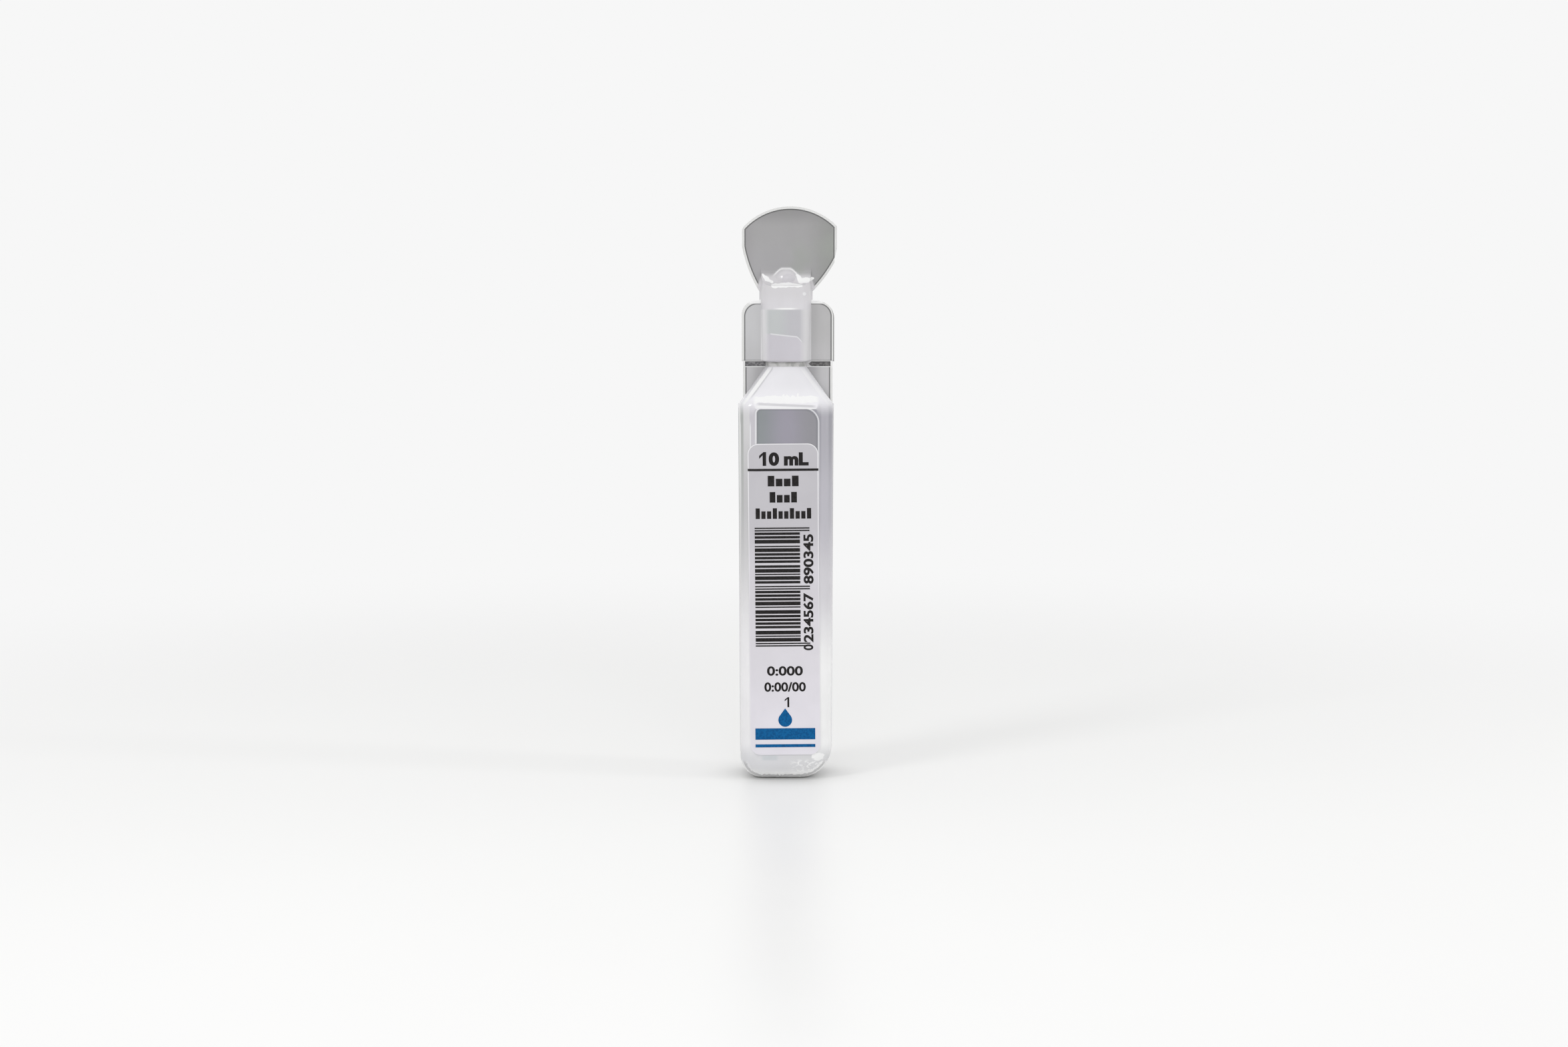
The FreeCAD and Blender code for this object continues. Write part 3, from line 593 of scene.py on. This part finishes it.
def paint_root(paint):
    """Where the tab begins, and the bright smile of painted highlights where it grows from the column."""
    across, height = paint.away(paint.x), paint.z
    ragged = paint.noise(1.3, 4.0)
    dome = paint.rise(across, 2.6, 0.6, 0.0, 1.3)
    arms = paint.rise(across, 3.9, 5.0, 0.0, 2.0)
    border = paint.math("ADD", ROOT_HEIGHT, paint.math("SUBTRACT", dome, arms))
    above = paint.math("SUBTRACT", height, border)
    softness = paint.rise(across, 1.7, 2.8, 0.3, 0.8)
    tab_share = paint.rise(paint.math("DIVIDE", above, softness), -0.6, 0.9)
    # Painted highlights: a line along the dome's crown, and the smile's strokes
    crown = paint.product(line_at(paint, above, -0.15, 0.06, 0.14), paint.rise(across, 2.4, 1.6), 0.55)

    rough = paint.math("MULTIPLY", paint.math("SUBTRACT", ragged, 0.5), 0.5)
    bright = crown
    for stretch in SMILE:
        bright = paint.math("MAXIMUM", bright, stroke(paint, *stretch, 0.14, rough))
    bright = paint.product(bright, paint.rise(paint.away(paint.y), 0.3, 0.6))
    inside = paint.product(paint.rise(spot(paint, ROOT_SPOT, 0.8), 0.9, 0.5), 0.6)
    return tab_share, inside, bright


def paint_web(paint):
    """The webs under the wings: painted greyer as the shade seen through them, with painted highlight rims.
    """
    web = lerp_shades(paint, paint.away(paint.x), (4.5, shade(180, 179, 181)), (6.2, shade(197, 196, 198)))
    web = paint_rim(paint, web, between_sides(paint, WEB_LEFT, WEB_RIGHT), shade(234, 234, 233))
    return paint.mix(paint.rise(paint.z, NECK_LOW - 0.16, NECK_LOW - 0.08), web, shade(240, 240, 240))


def paint_slot(paint, right, colour):
    """The break, painted grey as it lies in shade, and the skin in the slot next to it, painted dark as the
    shade in the slot.
    """
    depth, height = paint.away(paint.y), paint.z
    gap = paint.between(height, NECK_LOW + 0.04, SLOT_TOP - 0.04, 0.03)
    break_shade = paint.mix(paint.rise(paint.noise(0.8, 4.0), 0.4, 0.6), shade(172, 173, 170),
                            shade(204, 203, 203))
    colour = paint.mix(paint.product(gap, paint.rise(depth, 0.5, 0.7)), colour, break_shade)
    skin = paint.product(gap, paint.rise(depth, SKIN_HALF + 0.06, SKIN_HALF))
    # Lighter patches in the painted shade of the slot
    patchy = paint.rise(paint.noise(2.2, 4.0), 0.45, 0.65)
    dark = paint.mix(right, shade(104, 103, 106), shade(84, 83, 84))
    dark = paint.mix(patchy, dark, paint.mix(right, shade(146, 145, 147), shade(124, 123, 122)))
    off_middle = paint.away(paint.math("SUBTRACT", height, (NECK_LOW + SLOT_TOP) / 2))
    point = paint.math("SUBTRACT", paint.x, paint.math("MULTIPLY", off_middle, 1.2))
    blunt = paint.product(paint.rise(point, 3.85, 3.7), right)
    return paint.mix(skin, colour, paint.mix(blunt, dark, shade(226, 225, 226)))


def make_plastic():
    """Milky polyethylene: clearer and greyer where it is thin, the grey painted as the shade seen through
    it, with painted highlights where it folds.
    """
    paint = Paint("milky_polyethylene")
    across, depth, height = paint.away(paint.x), paint.away(paint.y), paint.z
    right = paint.rise(paint.x, -2.0, 2.0)
    flat = paint.rise(depth, PLATE_HALF + 0.1, PLATE_HALF)

    # The corners fade into the shoulder, while the panel between them ends at a fold
    bottle = paint_bottle(paint, right)
    fade = paint.rise(across, 4.9, 5.5)
    start = paint.math("SUBTRACT", PANEL_TOP - 0.08, paint.math("MULTIPLY", fade, 1.4))
    end = paint.math("ADD", PANEL_TOP + 0.02, paint.math("MULTIPLY", fade, 1.6))
    share = paint.rise(height, start, end)
    colour = paint.mix(share, paint_foot(paint, right, bottle), paint_shoulder(paint, right))
    above = paint.rise(height, SHOULDER_LOW + 0.1, SHOULDER_LOW + 0.4)
    colour = paint.mix(paint.product(flat, above, paint.rise(across, 3.3, 3.6)), colour, paint_web(paint))
    cap = paint_cap(paint, right, flat)
    colour = paint.mix(paint.rise(height, NECK_LOW + 0.1, NECK_LOW + 0.2), colour, cap)
    colour = paint_slot(paint, right, colour)

    tab_share, inside, bright = paint_root(paint)
    colour = paint.mix(inside, colour, shade(206, 203, 209))
    colour = paint.mix(paint.product(tab_share, paint.rise(height, 81.6, 82.2)), colour, paint_tab(paint))
    # The painted highlights at the tab's root
    colour = paint.mix(bright, colour, WHITE)

    clouds = paint.noise(0.12, 3.0)
    paint.set("Base Color", paint.dim(colour, clouds, 0.96))
    paint.set("Roughness", paint.rise(paint.noise(0.5, 4.0), 0.3, 0.7, 0.1, 0.2))
    paint.set("IOR", PLASTIC_IOR)
    paint.set("Transmission Weight", PLASTIC_CLEAR)
    pinch = paint.product(paint.noise(1.6, 5.0), paint.rise(height, 1.6, 0.8))
    sinks = paint.noise(0.25, 2.0, (1.0, 1.0, 0.4))
    paint.relief((sinks, 0.2), (paint.noise(2.5, 3.0), 0.01), (pinch, 0.15))
    return paint.material


def make_water():
    """Clear water with the faint violet cast it has inside the ampoule."""
    paint = Paint("clear_water")
    cast = paint.mix(paint.noise(0.15), (0.93, 0.94, 0.97, 1.0), (0.97, 0.96, 0.99, 1.0))
    paint.set("Base Color", cast)
    paint.set("Roughness", paint.rise(paint.noise(0.4), 0.3, 0.7, 0.0, 0.03))
    paint.set("IOR", WATER_IOR)
    paint.set("Transmission Weight", 1.0)
    return paint.material


def make_label():
    """A satin label film with a faint violet cast, paler towards the foot."""
    paint = Paint("label_film")
    colour = lerp_shades(paint, paint.z, (8, shade(220, 217, 224)), (22, shade(212, 209, 215)),
                         (34, shade(204, 201, 207)), (45, shade(186, 184, 189)))
    turn = math.radians(LABEL_TILT)
    x = paint.math("SUBTRACT", paint.x, LABEL_SHIFT)
    z = paint.math("SUBTRACT", paint.z, (LABEL_LOW + LABEL_HIGH) / 2)
    out = paint.away(paint.math("ADD", x, paint.math("MULTIPLY", z, turn)))
    up = paint.away(paint.math("SUBTRACT", z, paint.math("MULTIPLY", x, turn)))
    out = paint.math("SUBTRACT", out, LABEL_WIDTH / 2)
    up = paint.math("SUBTRACT", up, (LABEL_HIGH - LABEL_LOW) / 2)
    inside = rounded(paint, out, up, LABEL_ROUND)
    # A painted highlight along the label's edge, stronger towards the top
    edge = paint.product(paint.rise(inside, 0.2, 0.1), paint.rise(paint.z, 20, 50, 0.2, 0.9))
    colour = paint.mix(edge, colour, shade(228, 227, 230))
    paint.set("Base Color", paint.dim(colour, paint.noise(0.2, 4.0), 0.96))
    paint.set("Roughness", paint.rise(paint.noise(1.5, 4.0), 0.3, 0.7, 0.32, 0.48))
    paint.relief((paint.noise(6.0, 3.0), 0.004), (paint.noise(0.15), 0.05))
    return paint.material


def make_ink(name, dark, light):
    """Print with slightly uneven cover."""
    paint = Paint(name)
    cover = paint.rise(paint.noise(3.0, 4.0), 0.35, 0.65)
    paint.set("Base Color", paint.mix(cover, dark, light))
    paint.set("Roughness", paint.rise(paint.noise(4.0, 3.0), 0.3, 0.7, 0.35, 0.5))
    paint.set("Specular IOR Level", 0.15)
    return paint.material


def label_frame():
    """The plane of the label's face: it leans back with the bottle and to the left."""
    lean = math.atan(SIDE_GAIN / SHOULDER_LOW)
    middle = (LABEL_LOW + LABEL_HIGH) / 2
    front = FOOT_DEPTH / 2 + middle * math.tan(lean) + LABEL_OUT
    place = Matrix.Translation(Vector((LABEL_SHIFT, -front, middle)) * MM)
    upright = Matrix.Rotation(math.radians(90) + lean, 4, "X")
    return place @ upright @ Matrix.Rotation(math.radians(LABEL_TILT), 4, "Z")


def lay_on_label(item, box, turned=False):
    """Fit flat print to a box (left, low, right, high) in millimetres on the label."""
    bpy.context.scene.collection.objects.link(item)
    bpy.context.view_layer.update()
    corners = [Vector(corner) for corner in item.bound_box]
    low = Vector([min(corner[axis] for corner in corners) for axis in range(3)])
    high = Vector([max(corner[axis] for corner in corners) for axis in range(3)])
    left, bottom, right, top = box
    face = label_frame()
    start = face.inverted() @ Vector((left * MM, face.translation.y, bottom * MM))
    end = face.inverted() @ Vector((right * MM, face.translation.y, top * MM))
    width, height = end.x - start.x, end.y - start.y
    if turned:
        width, height = height, width
    reach = high - low
    fit = Matrix.Diagonal((width / reach.x, height / reach.y, INK * MM / reach.z, 1.0))
    fit = fit @ Matrix.Translation(-low)
    turn = Matrix.Rotation(math.radians(90), 4, "Z") if turned else Matrix.Identity(4)
    corner = Vector((end.x if turned else start.x, start.y, 0.0))
    item.matrix_world = face @ Matrix.Translation(corner) @ turn @ fit


def new_print(name, data, ink):
    """An object for a piece of print, in its ink."""
    data.extrude = 0.001
    data.materials.append(ink)
    item = bpy.data.objects.new("figures_" + name, data)
    return item


def make_one(name, wide, tall, width):
    """A one with a slanting flag, its stem as wide as the stroke."""
    stem = wide - width
    flag = tall - 0.55 * wide
    corners = ((stem, 0), (wide, 0), (wide, tall), (wide - 0.75 * width, tall), (0, flag),
               (0, flag - 0.9 * width), (stem, tall - 0.95 * width))
    data = bpy.data.curves.new(name, "CURVE")
    data.dimensions = "2D"
    data.fill_mode = "BOTH"
    spline = data.splines.new("POLY")
    spline.points.add(len(corners) - 1)
    for point, (x, y) in zip(spline.points, corners):
        point.co = (x, y, 0.0, 1.0)
    spline.use_cyclic_u = True
    return data


def make_figures(ink):
    """The plain figures printed on the label."""
    for name, (words, box, weight, turned) in FIGURES.items():
        data = bpy.data.curves.new(name, "FONT")
        data.body = words
        data.offset = weight
        data.resolution_u = 6
        item = new_print(name, data, ink)
        lay_on_label(item, box, turned)
        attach(item, "root")
    for name, (box, width) in ONES.items():
        item = new_print(name, make_one(name, box[2] - box[0], box[3] - box[1], width), ink)
        lay_on_label(item, box)
        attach(item, "root")


def dress(node, material):
    """Give a CAD node its material."""
    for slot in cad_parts[node].material_slots:
        slot.material = material


def make_floor_paint():
    """The floor's pale paint: shaded near the foot, and as bright as the background far away."""
    paint = Paint("pale_floor")
    colour = paint.mix(paint.noise(0.01, 3.0), shade(238, 238, 237), shade(244, 244, 243))
    nearby = paint.add("ShaderNodeAmbientOcclusion", samples=8)
    nearby.inputs["Distance"].default_value = CONTACT_REACH
    path = paint.add("ShaderNodeLightPath")
    contact = paint.rise(nearby.outputs["AO"], 0.95, 0.25, 0.0, 0.6)
    contact = paint.product(contact, path.outputs["Is Camera Ray"])
    colour = paint.mix(contact, colour, shade(150, 150, 150))
    paint.set("Base Color", colour)
    paint.set("Roughness", paint.rise(paint.noise(0.02, 2.0), 0.3, 0.7, 0.3, 0.36))
    glow = paint.add("ShaderNodeEmission")
    glow.inputs["Color"].default_value = (WHITE_LEVEL, WHITE_LEVEL, WHITE_LEVEL, 1.0)
    sight = paint.math("MAXIMUM", path.outputs["Is Camera Ray"], path.outputs["Is Glossy Ray"])
    sight = paint.math("MAXIMUM", sight, path.outputs["Is Transmission Ray"])
    length = paint.add("ShaderNodeVectorMath", operation="LENGTH")
    paint.feed(length.inputs[0], paint.point)
    far = paint.rise(length.outputs["Value"], FADE_START, FADE_END)
    blend = paint.add("ShaderNodeMixShader")
    paint.feed(blend.inputs[0], paint.product(far, sight))
    paint.feed(blend.inputs[1], paint.shader.outputs[0])
    paint.feed(blend.inputs[2], glow.outputs[0])
    paint.feed(paint.tree.nodes["Material Output"].inputs["Surface"], blend.outputs[0])
    return paint.material


def make_floor():
    """A pale floor that fades into the background away from the ampoule."""
    mesh = bpy.data.meshes.new("floor")
    turns = [2 * math.pi * step / FLOOR_CORNERS for step in range(FLOOR_CORNERS)]
    corners = [(FLOOR_RADIUS * math.cos(angle), FLOOR_RADIUS * math.sin(angle), 0.0) for angle in turns]
    mesh.from_pydata(corners, [], [tuple(range(FLOOR_CORNERS))])
    mesh.materials.append(make_floor_paint())
    floor = bpy.data.objects.new("floor", mesh)
    bpy.context.scene.collection.objects.link(floor)


def make_world():
    """An even studio room: soft light, and a pale background where it is looked at."""
    world = bpy.data.worlds.new("studio")
    bpy.context.scene.world = world
    world.use_nodes = True
    tree = world.node_tree
    light = tree.nodes["Background"]
    light.inputs["Color"].default_value = (1.0, 1.0, 1.0, 1.0)
    light.inputs["Strength"].default_value = ROOM_LIGHT
    seen = tree.nodes.new("ShaderNodeBackground")
    seen.inputs["Color"].default_value = (1.0, 1.0, 1.0, 1.0)
    seen.inputs["Strength"].default_value = WHITE_LEVEL
    path = tree.nodes.new("ShaderNodeLightPath")
    sight = path.outputs["Is Camera Ray"]
    for other in ("Is Glossy Ray", "Is Transmission Ray"):
        either = tree.nodes.new("ShaderNodeMath")
        either.operation = "MAXIMUM"
        tree.links.new(sight, either.inputs[0])
        tree.links.new(path.outputs[other], either.inputs[1])
        sight = either.outputs[0]
    blend = tree.nodes.new("ShaderNodeMixShader")
    tree.links.new(sight, blend.inputs[0])
    tree.links.new(light.outputs[0], blend.inputs[1])
    tree.links.new(seen.outputs[0], blend.inputs[2])
    tree.links.new(blend.outputs[0], tree.nodes["World Output"].inputs["Surface"])


def make_lamp(name, place, width, height, power, mirrored):
    """A softbox that faces the middle of the ampoule, mirrored in its gloss or not."""
    lamp = bpy.data.lights.new(name, "AREA")
    lamp.shape = "RECTANGLE"
    lamp.size = width
    lamp.size_y = height
    lamp.energy = power
    item = bpy.data.objects.new(name, lamp)
    item.location = place
    item.visible_glossy = mirrored
    aim = Vector(LAMP_TARGET) - item.location
    item.rotation_euler = aim.to_track_quat("-Z", "Y").to_euler()
    bpy.context.scene.collection.objects.link(item)


def make_camera():
    """The photograph's camera."""
    camera = bpy.data.cameras.new("camera")
    camera.lens = LENS
    camera.sensor_width = SENSOR
    camera.clip_start = CLIP_START
    item = bpy.data.objects.new("camera", camera)
    item.location = CAMERA_PLACE
    item.rotation_euler = (math.radians(90 - CAMERA_PITCH), 0, 0)
    bpy.context.scene.collection.objects.link(item)
    bpy.context.scene.camera = item


def main():
    """Dress the frame, light it and look at it as the photograph does."""
    dress("ampoule", make_plastic())
    dress("water", make_water())
    dress("label", make_label())
    black = make_ink("black_ink", shade(24, 22, 22), shade(38, 36, 36))
    blue = make_ink("blue_ink", shade(0, 76, 128), shade(4, 92, 148))
    dress("ink_black", black)
    dress("ink_blue", blue)
    make_figures(black)
    make_floor()
    make_world()
    for name, settings in LAMPS.items():
        make_lamp(name, *settings)
    make_camera()
    bpy.context.scene.view_settings.view_transform = "Standard"


main()
